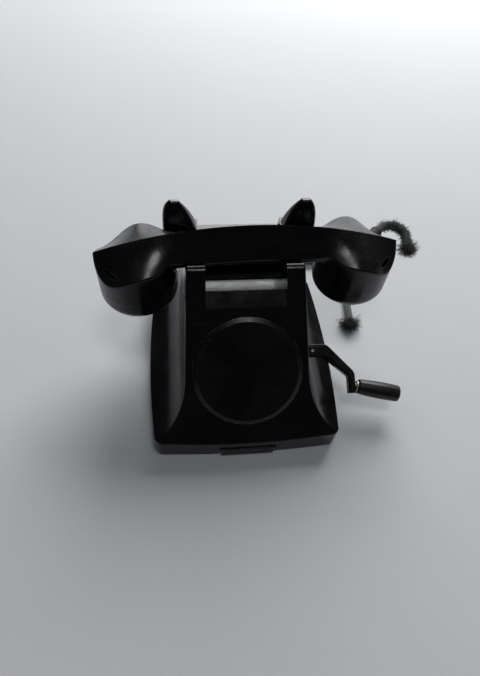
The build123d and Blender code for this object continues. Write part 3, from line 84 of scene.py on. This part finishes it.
class Surface:
    """A material under construction, with short names for the nodes that it is made of."""

    def __init__(self, name):
        self.material = bpy.data.materials.new(name)
        self.material.use_nodes = True
        self.tree = self.material.node_tree
        self.shader = self.tree.nodes["Principled BSDF"]
        self.place = self.tree.nodes.new("ShaderNodeTexCoord").outputs["Object"]

    def feed(self, socket, value):
        """Links a node's output to a socket, or sets the socket to a plain value."""
        if isinstance(value, bpy.types.NodeSocket):
            self.tree.links.new(value, socket)
        else:
            socket.default_value = value

    def stretched(self, scale, turn=(0, 0, 0)):
        """The object's coordinates, turned and then scaled along each axis."""
        mapping = self.tree.nodes.new("ShaderNodeMapping")
        self.feed(mapping.inputs["Vector"], self.place)
        self.feed(mapping.inputs["Rotation"], turn)
        self.feed(mapping.inputs["Scale"], scale)
        return mapping.outputs["Vector"]

    def noise(self, scale, detail, roughness, vector=None, distortion=0.0):
        """Cloudy noise of so many cells to the metre, around 0.5."""
        made = self.tree.nodes.new("ShaderNodeTexNoise")
        self.feed(made.inputs["Vector"], vector or self.place)
        self.feed(made.inputs["Scale"], scale)
        self.feed(made.inputs["Detail"], detail)
        self.feed(made.inputs["Roughness"], roughness)
        self.feed(made.inputs["Distortion"], distortion)
        return made.outputs["Fac"]

    def span(self, value, low, high, bottom=0.0, top=1.0):
        """A value's stretch from low to high, mapped to bottom to top and held there."""
        made = self.tree.nodes.new("ShaderNodeMapRange")
        made.interpolation_type = "SMOOTHSTEP"
        self.feed(made.inputs["Value"], value)
        self.feed(made.inputs["From Min"], low)
        self.feed(made.inputs["From Max"], high)
        self.feed(made.inputs["To Min"], bottom)
        self.feed(made.inputs["To Max"], top)
        return made.outputs["Result"]

    def math(self, operation, first, second):
        """The result of one operation on two values, each a number or a node's output."""
        made = self.tree.nodes.new("ShaderNodeMath")
        made.operation = operation
        self.feed(made.inputs[0], first)
        self.feed(made.inputs[1], second)
        return made.outputs["Value"]

    def blend(self, share, first, second):
        """Colours from first, at a share of 0, to second, at 1."""
        made = self.tree.nodes.new("ShaderNodeMix")
        made.data_type = "RGBA"
        self.feed(made.inputs["Factor"], share)
        self.feed(made.inputs["A"], first if isinstance(first, bpy.types.NodeSocket) else (*first, 1))
        self.feed(made.inputs["B"], second if isinstance(second, bpy.types.NodeSocket) else (*second, 1))
        return made.outputs["Result"]

    def facing_up(self):
        """1 where the surface faces the ceiling, 0 where it is steep."""
        geometry = self.tree.nodes.new("ShaderNodeNewGeometry")
        parts = self.tree.nodes.new("ShaderNodeSeparateXYZ")
        self.feed(parts.inputs["Vector"], geometry.outputs["Normal"])
        return parts.outputs["Z"]

    def edges(self, radius):
        """1 on edges that stick out or fold in within a radius, 0 on flats."""
        bevel = self.tree.nodes.new("ShaderNodeBevel")
        bevel.samples = EDGE_SAMPLES
        self.feed(bevel.inputs["Radius"], radius)
        geometry = self.tree.nodes.new("ShaderNodeNewGeometry")
        product = self.tree.nodes.new("ShaderNodeVectorMath")
        product.operation = "DOT_PRODUCT"
        self.feed(product.inputs[0], bevel.outputs["Normal"])
        self.feed(product.inputs[1], geometry.outputs["Normal"])
        return self.span(product.outputs["Value"], FLAT_COSINE, EDGE_COSINE)

    def scratches(self, density):
        """Thin straight hairlines in a few directions."""
        total = 0.0
        for step, turn in enumerate(SCRATCH_TURNS):
            streaks = self.noise(1.0, 2, 0.5, self.stretched(SCRATCH_CELLS, turn))
            gate = self.noise(45 + 9 * step, 1, 0.5)
            lines = self.math(
                "MULTIPLY", self.span(streaks, 0.72 - density, 0.76 - density), self.span(gate, 0.50, 0.62)
            )
            total = self.math("MAXIMUM", total, lines)
        return total

    def bump(self, height, depth, strength):
        """Raises the surface by depth metres where height is 1."""
        made = self.tree.nodes.new("ShaderNodeBump")
        self.feed(made.inputs["Strength"], strength)
        self.feed(made.inputs["Distance"], depth)
        self.feed(made.inputs["Height"], height)
        self.feed(self.shader.inputs["Normal"], made.outputs["Normal"])

    def finish(self, colour, roughness, metallic=0.0, **fixed):
        """Feeds the shader; a fixed socket's name is written with underscores for its spaces."""
        self.feed(self.shader.inputs["Base Color"], colour)
        self.feed(self.shader.inputs["Roughness"], roughness)
        self.feed(self.shader.inputs["Metallic"], metallic)
        for key, value in fixed.items():
            self.feed(self.shader.inputs[key.replace("_", " ")], value)
        return self.material


# The second colour is the pale film on upward faces: partly dust, partly painted sheen.
RESIN_DUST_AND_SHEEN, RESIN_RUBBED, RESIN_HAIRLINE = (0.26, 0.26, 0.24), (0.070, 0.066, 0.060), (0.14, 0.14, 0.135)
RUBBED_WIDTH = 0.0012
CHIPPED_WIDTH = 0.0008
ENAMEL_DUST = (0.32, 0.32, 0.30)
# Painted shade for the gaps between wire turns.
WIRE_GAP_SHADE = (0.03, 0.012, 0.008)
WAVES_TO_METRE = 0.314      # scale of the wave texture that gives one band in a metre


def darker(colour, share):
    """A colour at a share of its brightness, or lighter where the share is over 1."""
    return tuple(share * c for c in colour)


def resin(name, colour, shine, dust, worn, scuffs=0.035):
    """Black moulded resin: polished once, with dull patches, hairlines, rubbed edges, and a pale film on
    upward faces that is partly dust and partly painted sheen.
    """
    s = Surface(name)
    patches = s.span(s.noise(32, 4, 0.6, distortion=0.6), 0.38, 0.66)
    mottle = s.noise(420, 3, 0.6)
    hair = s.scratches(scuffs)
    rubbed = s.math("MULTIPLY", s.edges(RUBBED_WIDTH), s.span(s.noise(160, 3, 0.6), 0.36, 0.62))
    drifts = s.span(s.noise(26, 5, 0.65, distortion=0.4), 0.30, 0.68)
    # Pale film on upward faces: partly dust, partly painted sheen that lightens the tops as if they caught
    # the light.
    dust_and_sheen = s.math("MULTIPLY", s.span(s.facing_up(), 0.35, 0.98), drifts)
    dust_and_sheen = s.math("MULTIPLY", dust_and_sheen, s.span(mottle, 0.30, 0.62, 0.55, 1.0))
    base = s.blend(s.span(mottle, 0.35, 0.65, 0.0, 0.6), colour, darker(colour, 1.5))
    base = s.blend(s.math("MULTIPLY", dust_and_sheen, dust), base, RESIN_DUST_AND_SHEEN)
    base = s.blend(s.math("MULTIPLY", rubbed, worn), base, RESIN_RUBBED)
    base = s.blend(s.math("MULTIPLY", hair, 0.07), base, RESIN_HAIRLINE)
    rough = s.math("ADD", s.math("MULTIPLY", patches, 0.10), shine)
    rough = s.math("ADD", rough, s.math("MULTIPLY", dust_and_sheen, 0.5 * dust + 0.05))
    rough = s.math("ADD", rough, s.math("MULTIPLY", s.math("MAXIMUM", hair, rubbed), 0.12))
    s.bump(s.math("ADD", s.math("MULTIPLY", mottle, 0.30), s.math("MULTIPLY", hair, -0.3)), 0.00003, 0.6)
    return s.finish(base, rough, Specular_IOR_Level=0.38)


def enamel(name, colour, shine, under=(0.30, 0.28, 0.25), worn=0.5, dust=0.10):
    """Paint or lacquer on metal, chipped through at its edges."""
    s = Surface(name)
    orange = s.noise(700, 2, 0.5)
    clouds = s.span(s.noise(40, 4, 0.6), 0.35, 0.68)
    flaked = s.span(s.noise(240, 4, 0.7), 0.52 - 0.12 * worn, 0.56)
    chips = s.math("MULTIPLY", s.edges(CHIPPED_WIDTH), flaked)
    drifts = s.span(s.noise(60, 4, 0.6), 0.40, 0.70, 0.0, dust)
    dusty = s.math("MULTIPLY", s.span(s.facing_up(), 0.3, 1.0), drifts)
    base = s.blend(clouds, colour, tuple(1.35 * c + 0.002 for c in colour))
    base = s.blend(dusty, base, ENAMEL_DUST)
    base = s.blend(chips, base, under)
    rough = s.math("ADD", s.math("MULTIPLY", clouds, 0.16), shine)
    rough = s.math("ADD", rough, s.math("MULTIPLY", chips, 0.12))
    s.bump(s.math("ADD", orange, s.math("MULTIPLY", chips, -1.5)), 0.00002, 0.8)
    return s.finish(base, rough, s.math("MULTIPLY", chips, 0.9), Specular_IOR_Level=0.32)


def metal(name, colour, shine, stain=(0.16, 0.13, 0.10), stained=0.35, grain=(900, 900, 30)):
    """Bare or plated metal: a drawn grain, clouded, with darker tarnish in patches."""
    s = Surface(name)
    drawn = s.noise(1.0, 3, 0.6, s.stretched(grain))
    clouds = s.span(s.noise(70, 4, 0.6, distortion=0.5), 0.36, 0.70)
    spots = s.span(s.noise(380, 3, 0.65), 0.60, 0.72)
    tarnish = s.math("MAXIMUM", s.math("MULTIPLY", clouds, stained), s.math("MULTIPLY", spots, 0.5 * stained))
    base = s.blend(s.span(drawn, 0.35, 0.65, 0.0, 0.5), colour, darker(colour, 0.78))
    base = s.blend(tarnish, base, stain)
    rough = s.math("ADD", s.math("MULTIPLY", tarnish, 0.30), s.span(drawn, 0.3, 0.7, shine, shine + 0.12))
    s.bump(drawn, 0.00001, 0.5)
    return s.finish(base, rough, s.math("SUBTRACT", 1.0, s.math("MULTIPLY", tarnish, 0.4)))


def matte(name, colour, rough, grain=600, depth=0.00004, second=None):
    """Rubber, paper, laminate or pressed board: dull, with a fine grain and uneven colour."""
    s = Surface(name)
    fine = s.noise(grain, 4, 0.65)
    clouds = s.span(s.noise(45, 4, 0.6), 0.35, 0.68)
    base = s.blend(clouds, colour, second or darker(colour, 1.5))
    base = s.blend(s.span(fine, 0.40, 0.70, 0.0, 0.35), base, darker(colour, 0.6))
    s.bump(fine, depth, 0.8)
    return s.finish(base, s.math("ADD", s.math("MULTIPLY", fine, 0.18), rough))


def wound(name, colour, pitch):
    """Enamelled wire in close turns along Y, under a coat of lacquer, with painted shade in the gaps between
    turns.
    """
    s = Surface(name)
    wave = s.tree.nodes.new("ShaderNodeTexWave")
    wave.bands_direction = "Y"
    s.feed(wave.inputs["Vector"], s.place)
    s.feed(wave.inputs["Scale"], WAVES_TO_METRE / pitch)
    s.feed(wave.inputs["Distortion"], 0.4)
    s.feed(wave.inputs["Detail"], 1.0)
    turns = wave.outputs["Fac"]
    clouds = s.span(s.noise(90, 3, 0.6), 0.35, 0.68)
    base = s.blend(clouds, colour, darker(colour, 0.6))
    # Painted shade: the gaps between turns are darkened as if in shadow.
    base = s.blend(s.span(turns, 0.35, 0.0, 0.0, 0.8), base, WIRE_GAP_SHADE)
    s.bump(turns, 0.00012, 0.8)
    return s.finish(base, s.math("ADD", s.math("MULTIPLY", clouds, 0.15), 0.34), 0.55)


def braid_cloth(name, dark, light):
    """Textile braid: two colours of yarn, each thread ribbed, darker in soiled patches."""
    s = Surface(name)
    yarn = s.noise(1600, 3, 0.6)
    clouds = s.span(s.noise(110, 4, 0.6), 0.35, 0.68)
    fleck = s.span(s.noise(900, 2, 0.5), 0.48, 0.60)
    base = s.blend(s.math("MULTIPLY", fleck, 0.75), dark, light)
    base = s.blend(s.math("MULTIPLY", clouds, 0.45), base, darker(dark, 0.55))
    s.bump(yarn, 0.00012, 0.9)
    return s.finish(base, s.span(yarn, 0.3, 0.7, 0.78, 0.95), Sheen_Weight=0.35, Sheen_Roughness=0.5)


# ---------------------------------------------------------------- materials of the CAD nodes

BLACK = (0.0020, 0.0021, 0.0026)
finishes = {
    "housing_resin": resin("housing_resin", BLACK, 0.14, 0.022, 0.35),
    "handset_resin": resin("handset_resin", BLACK, 0.17, 0.05, 0.5),
    "cap_resin": resin("cap_resin", BLACK, 0.18, 0.03, 0.5),
    "knob_resin": resin("knob_resin", (0.005, 0.005, 0.006), 0.24, 0.05, 0.7, scuffs=0.06),
    "plunger_resin": resin("plunger_resin", (0.010, 0.010, 0.010), 0.42, 0.15, 0.6),
    "blank_enamel": enamel("blank_enamel", (0.0024, 0.0025, 0.0029), 0.24, worn=0.2, dust=0.008),
    "arm_enamel": enamel(
        "arm_enamel", (0.004, 0.004, 0.005), 0.24, under=(0.12, 0.10, 0.09), worn=0.35, dust=0.015
    ),
    "base_lacquer": enamel("base_lacquer", (0.018, 0.018, 0.018), 0.38),
    "tray_lacquer": enamel("tray_lacquer", (0.012, 0.012, 0.013), 0.34, worn=0.8),
    "magnet_lacquer": enamel("magnet_lacquer", (0.20, 0.022, 0.016), 0.32),
    "can_lacquer": enamel("can_lacquer", (0.26, 0.27, 0.27), 0.36),
    "foot_rubber": matte("foot_rubber", (0.018, 0.018, 0.018), 0.72),
    "gland_rubber": matte("gland_rubber", (0.016, 0.016, 0.017), 0.66),
    "screw_steel": metal("screw_steel", (0.46, 0.45, 0.43), 0.30),
    "spring_steel": metal("spring_steel", (0.30, 0.31, 0.34), 0.28, stained=0.2),
    "shaft_steel": metal("shaft_steel", (0.52, 0.52, 0.53), 0.20, stained=0.12, grain=(40, 1400, 1400)),
    "zinc_steel": metal("zinc_steel", (0.56, 0.56, 0.54), 0.34, stain=(0.36, 0.36, 0.34), stained=0.5),
    "core_iron": metal("core_iron", (0.20, 0.19, 0.18), 0.46, stained=0.4),
    "gong_nickel": metal("gong_nickel", (0.66, 0.63, 0.57), 0.16, stain=(0.30, 0.26, 0.18), stained=0.2),
    "gear_brass": metal("gear_brass", (0.62, 0.43, 0.16), 0.26, stain=(0.20, 0.13, 0.05), stained=0.3),
    "pin_brass": metal("pin_brass", (0.50, 0.36, 0.15), 0.34, stain=(0.12, 0.09, 0.04), stained=0.5),
    "spring_brass": metal("spring_brass", (0.64, 0.47, 0.22), 0.26, stained=0.2),
    "winding": wound("winding", (0.45, 0.13, 0.045), 0.0006),
    "insulator": matte("insulator", (0.10, 0.042, 0.018), 0.42, second=(0.16, 0.075, 0.034)),
    "card": matte("card", (0.66, 0.61, 0.50), 0.80, 900, 0.00002, second=(0.58, 0.52, 0.39)),
    "capsule_aluminium": metal("capsule_aluminium", (0.55, 0.55, 0.55), 0.34, stained=0.25),
    "handset_braid": braid_cloth("handset_braid", (0.030, 0.038, 0.034), (0.105, 0.120, 0.105)),
    "base_braid": braid_cloth("base_braid", (0.075, 0.082, 0.074), (0.26, 0.27, 0.245)),
}
slot_of = {part["node"]: part["material_slot"] for part in frame["record"]["subparts"]}
for name, cad_node in nodes.items():
    if not cad_node.material_slots:
        cad_node.data.materials.append(None)
    for cad_slot in cad_node.material_slots:
        cad_slot.material = finishes[slot_of[name]]

# ---------------------------------------------------------------- cords

CORD_RADIUS = 0.0035
HANDSET_CORD_LENGTH = 0.0484
BASE_CORD_LENGTH = 0.1729
HANDSET_CORD_ROUTE = (
    (0.117451, 0.063409, 0.104), (0.127088, 0.073565, 0.104), (0.144847, 0.063927, 0.1035),
    (0.140154, 0.044497, 0.1017),
)
BASE_CORD_ROUTE = (
    (0.0450, 0.0865, 0.0098), (0.0450, 0.1075, 0.0098), (0.0605, 0.1240, 0.0054), (0.1035, 0.1245, 0.0036),
    (0.1185, 0.1075, 0.0036), (0.1172, 0.0730, 0.0036), (0.1135, 0.0405, 0.0036),
)


def spline_points(name, route):
    """Points along the smooth curve that has the route's points as its control points."""
    data = bpy.data.curves.new(name, "CURVE")
    data.dimensions = "3D"
    data.resolution_u = 24
    spline = data.splines.new("NURBS")
    spline.points.add(len(route) - 1)
    for point, place in zip(spline.points, route):
        point.co = (*place, 1)
    spline.order_u = 3
    spline.use_endpoint_u = True
    holder = bpy.data.objects.new(name, data)
    line = bpy.data.meshes.new_from_object(holder)
    points = [vertex.co.copy() for vertex in line.vertices]
    bpy.data.objects.remove(holder)
    bpy.data.meshes.remove(line)
    return points


def walk(points, step):
    """Points every step metres along a line, with the way it runs there and two sideways directions."""
    lengths = [0.0]
    for first, second in zip(points, points[1:]):
        lengths.append(lengths[-1] + (second - first).length)
    count = max(2, round(lengths[-1] / step))
    side = Vector((0, 0, 1))
    piece, stations = 0, []
    for number in range(count + 1):
        reach = lengths[-1] * number / count
        while piece < len(points) - 2 and lengths[piece + 1] < reach:
            piece += 1
        share = (reach - lengths[piece]) / (lengths[piece + 1] - lengths[piece])
        way = (points[piece + 1] - points[piece]).normalized()
        side = (side - way * side.dot(way)).normalized()
        stations.append((points[piece].lerp(points[piece + 1], share), way, side.copy(), way.cross(side)))
    return stations, lengths[-1]


def mesh_object(name, vertices, faces, material):
    """A smooth-shaded mesh in the scene."""
    data = bpy.data.meshes.new(name)
    data.from_pydata([tuple(v) for v in vertices], [], faces)
    data.materials.append(material)
    data.polygons.foreach_set("use_smooth", [True] * len(data.polygons))
    made = bpy.data.objects.new(name, data)
    scene.collection.objects.link(made)
    return made


def ring_point(place, side, other, angle, radius):
    """A point at an angle round a place, between two sideways directions."""
    return place + side * (radius * math.cos(angle)) + other * (radius * math.sin(angle))


def tube_faces(start, rings, sides):
    """Faces of a closed tube whose rings of vertices follow each other from start on."""
    faces = []
    for ring in range(start, start + (rings - 1) * sides, sides):
        for turn in range(sides):
            first, second = ring + turn, ring + (turn + 1) % sides
            faces.append((first, second, second + sides, first + sides))
    last = start + (rings - 1) * sides
    faces.append(tuple(range(start, start + sides))[::-1])
    faces.append(tuple(range(last, last + sides)))
    return faces


BRAID_SIDES = 64
BRAID_CARRIERS = 10          # threads each way round
BRAID_STEP = 0.00035
BRAID_LAY = 0.019            # length of one turn of a thread
BRAID_RELIEF = 0.00028
BRAID_PULL = 0.0004          # how much thinner a cut end is
STRAND_SIDES = 4
STRAND_SIDE = Vector((0.31, 0.52, 0.79))      # about sideways of a thread, whichever way it runs
STRAND_TAPER = 0.45          # share of its thickness that a thread loses towards its tip
FRAY_CORE = 0.9              # share of the cord's radius that the loose threads root in
FRAY_PIECES = 9              # straight pieces in a frayed thread
FRAY_DEPTH = 0.003           # how far inside the cut the threads come loose
FRAY_DROOP = 0.05            # how much a piece turns down
FRAY_BEND = 0.16             # how much a piece turns towards the thread's bend
FRAY_KINKS = 0.3             # share of the pieces at which the bend changes
STRAY_PIECES = 5
STRAY_BEND = 0.35
STRAY_CORE = 0.95            # share of the cord's radius that the stray threads root at


def braid_height(around, along):
    """Height of a two-over-two braid, from 0 in its gaps to 1 on a thread's crown."""
    turn = along / BRAID_LAY
    first, second = BRAID_CARRIERS * (around - turn), BRAID_CARRIERS * (around + turn)
    over = (math.floor(first) + math.floor(second)) % 2
    ridge_one, ridge_two = (abs(math.sin(math.pi * value)) for value in (first, second))
    upper, lower = (ridge_one, ridge_two) if over else (ridge_two, ridge_one)
    return max(0.30 + 0.70 * upper ** 0.7, 0.55 * lower ** 0.7)


def braided_cord(name, route, material, bare_end):
    """A braided cord along a route, and its stations; its bare end thins where the braid has pulled back."""
    stations, length = walk(spline_points(name, route), BRAID_STEP)
    vertices = []
    for number, (place, _, side, other) in enumerate(stations):
        along = length * number / (len(stations) - 1)
        pulled = min(1.0, max(0.0, (along - length + bare_end) / bare_end))
        for turn in range(BRAID_SIDES):
            around = turn / BRAID_SIDES
            height = braid_height(around, along)
            radius = CORD_RADIUS - BRAID_RELIEF * (1 - height) - BRAID_PULL * pulled * pulled
            vertices.append(ring_point(place, side, other, 2 * math.pi * around, radius))
    faces = tube_faces(0, len(stations), BRAID_SIDES)
    return mesh_object(name, vertices, faces, material), stations


def strands(name, routes, material, thickness):
    """Thin threads, each along its own list of points, as one mesh."""
    vertices, faces = [], []
    for points in routes:
        start = len(vertices)
        side = STRAND_SIDE
        for number, place in enumerate(points):
            ahead = points[min(number + 1, len(points) - 1)] - points[max(number - 1, 0)]
            way = ahead.normalized()
            side = (side - way * side.dot(way)).normalized()
            other = way.cross(side)
            radius = thickness * (1.0 - STRAND_TAPER * number / (len(points) - 1))
            for turn in range(STRAND_SIDES):
                angle = 2 * math.pi * turn / STRAND_SIDES
                vertices.append(ring_point(place, side, other, angle, radius))
        faces += tube_faces(start, len(points), STRAND_SIDES)
    return mesh_object(name, vertices, faces, material)


def scatter(dice):
    """A random way to bend towards, of about unit size."""
    return Vector((dice.gauss(0, 1), dice.gauss(0, 1), dice.gauss(0, 1)))


def frayed(seed, end, count, reach, spread, curl, floor_z, back=0.3):
    """Routes of the loose threads of a cut braid: they burst from the end, curl and droop."""
    dice = random.Random(seed)
    place, way, side, other = end
    routes = []
    for _ in range(count):
        angle = dice.uniform(0, 2 * math.pi)
        outward = side * math.cos(angle) + other * math.sin(angle)
        root = place + outward * (CORD_RADIUS * FRAY_CORE * dice.uniform(0.35, 1.0))
        root -= way * dice.uniform(0, FRAY_DEPTH)
        lean = dice.uniform(0.1, 1.0) ** 0.8 * spread
        heading = (way * (math.cos(lean) - back * dice.random()) + outward * math.sin(lean)).normalized()
        long = reach * dice.uniform(0.55, 1.0)
        bend = scatter(dice) * curl
        points, here = [root], root.copy()
        for _ in range(FRAY_PIECES):
            heading = (heading + bend * FRAY_BEND + Vector((0, 0, -FRAY_DROOP))).normalized()
            if dice.random() < FRAY_KINKS:
                bend = scatter(dice) * curl
            here = here + heading * (long / FRAY_PIECES)
            here.z = max(here.z, floor_z)
            points.append(here.copy())
        routes.append(points)
    return routes


def stray(seed, line, count, reach):
    """Routes of short loose threads that stand off a worn cord all along its length."""
    dice = random.Random(seed)
    neat = len(line) // 8        # stations by the exit where no thread is loose
    routes = []
    for _ in range(count):
        place, way, side, other = line[dice.randrange(neat, len(line))]
        angle = dice.uniform(0, 2 * math.pi)
        outward = side * math.cos(angle) + other * math.sin(angle)
        heading = (outward * dice.uniform(0.3, 1.0) + way * dice.uniform(-0.4, 1.0)).normalized()
        bend = scatter(dice)
        here = place + outward * CORD_RADIUS * STRAY_CORE
        points = [here]
        long = reach * dice.uniform(0.4, 1.0)
        for _ in range(STRAY_PIECES):
            heading = (heading + bend * STRAY_BEND).normalized()
            here = here + heading * (long / STRAY_PIECES)
            points.append(here)
        routes.append(points)
    return routes


tuft_dark = braid_cloth("tuft_dark", (0.020, 0.026, 0.023), (0.085, 0.098, 0.085))
tuft_pale = braid_cloth("tuft_pale", (0.11, 0.115, 0.095), (0.30, 0.29, 0.235))

DARK_THREAD, PALE_THREAD = 0.00017, 0.00014      # radius of a loose thread
IN_THE_AIR, ON_THE_TABLE = -1.0, 0.0004          # the lowest that a frayed thread may droop

handset_cord, handset_line = braided_cord(
    "handset_cord_braid", HANDSET_CORD_ROUTE, finishes["handset_braid"], bare_end=0.006
)
base_cord, base_line = braided_cord(
    "base_cord_braid", BASE_CORD_ROUTE, finishes["base_braid"], bare_end=0.010
)
handset_cut, base_cut = handset_line[-1], base_line[-1]
handset_tuft = strands(
    "handset_cord_tuft",
    frayed(11, handset_cut, count=460, reach=0.0090, spread=1.35, curl=0.9, floor_z=IN_THE_AIR)
    + stray(13, handset_line, count=700, reach=0.0040),
    tuft_dark, DARK_THREAD,
)
handset_tuft_pale = strands(
    "handset_cord_tuft_pale",
    frayed(12, handset_cut, count=60, reach=0.0075, spread=1.1, curl=0.8, floor_z=IN_THE_AIR),
    tuft_pale, PALE_THREAD,
)
base_tuft = strands(
    "base_cord_tuft",
    frayed(21, base_cut, count=420, reach=0.0125, spread=1.45, curl=0.9, floor_z=ON_THE_TABLE, back=0.5),
    tuft_dark, DARK_THREAD,
)
base_tuft_pale = strands(
    "base_cord_tuft_pale",
    frayed(22, base_cut, count=60, reach=0.0105, spread=1.3, curl=0.8, floor_z=ON_THE_TABLE),
    tuft_pale, PALE_THREAD,
)
for cord, tufts, line, route, length, body, slot, replaced in (
    (
        handset_cord, (handset_tuft, handset_tuft_pale), handset_line, HANDSET_CORD_ROUTE,
        HANDSET_CORD_LENGTH, "handset", "handset_braid", "handset_cord",
    ),
    (
        base_cord, (base_tuft, base_tuft_pale), base_line, BASE_CORD_ROUTE,
        BASE_CORD_LENGTH, "base", "base_braid", "base_cord",
    ),
):
    for piece in (cord, *tufts):
        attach(piece, body)
    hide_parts(replaced)

# ---------------------------------------------------------------- floor and light

FLOOR_SIZE = 6.0
FLOOR_MIDDLE = (0, 0.6, 0)
WEAVE_LIGHT, WEAVE_DARK = (0.655, 0.665, 0.690), (0.625, 0.637, 0.665)
ROOM_COLOUR, ROOM_STRENGTH = (0.80, 0.86, 1.0, 1), 0.045


def pale_cloth():
    """The plain pale floor, a little uneven like a smoothed tablecloth."""
    s = Surface("floor_cloth")
    weave = s.noise(900, 2, 0.6)
    creases = s.noise(5.0, 3, 0.5, s.stretched((1.0, 0.55, 1.0), (0, 0, 0.5)))
    tint = s.blend(s.span(weave, 0.35, 0.65), WEAVE_LIGHT, WEAVE_DARK)
    s.bump(s.math("ADD", s.math("MULTIPLY", weave, 0.01), creases), 0.010, 0.30)
    return s.finish(tint, 0.9, Specular_IOR_Level=0.2)


bpy.ops.mesh.primitive_plane_add(size=FLOOR_SIZE, location=FLOOR_MIDDLE)
floor = bpy.context.object
floor.name = "floor"
floor.data.materials.append(pale_cloth())

world = bpy.data.worlds.new("studio")
scene.world = world
world.use_nodes = True
world.node_tree.nodes["Background"].inputs["Color"].default_value = ROOM_COLOUR
world.node_tree.nodes["Background"].inputs["Strength"].default_value = ROOM_STRENGTH


def soft_light(name, place, aim, size, power, colour):
    """A rectangular lamp that points at a place."""
    data = bpy.data.lights.new(name, "AREA")
    data.shape = "RECTANGLE"
    data.size, data.size_y = size
    data.energy = power
    data.color = colour
    lamp = bpy.data.objects.new(name, data)
    lamp.location = place
    lamp.rotation_euler = (Vector(aim) - Vector(place)).to_track_quat("-Z", "Y").to_euler()
    scene.collection.objects.link(lamp)


soft_light(
    "window", place=(0.55, 1.55, 1.30), aim=(0, 0.1, 0), size=(1.5, 0.9), power=41,
    colour=(1.0, 0.995, 0.985),
)
soft_light(
    "sill", place=(0.30, 1.60, 0.40), aim=(0, 0, 0.1), size=(1.6, 0.45), power=9.0,
    colour=(0.97, 0.99, 1.0),
)
soft_light(
    "ceiling", place=(0.17, -0.26, 1.80), aim=(0, 0, 0), size=(0.45, 0.42), power=4.8,
    colour=(0.97, 0.985, 1.0),
)
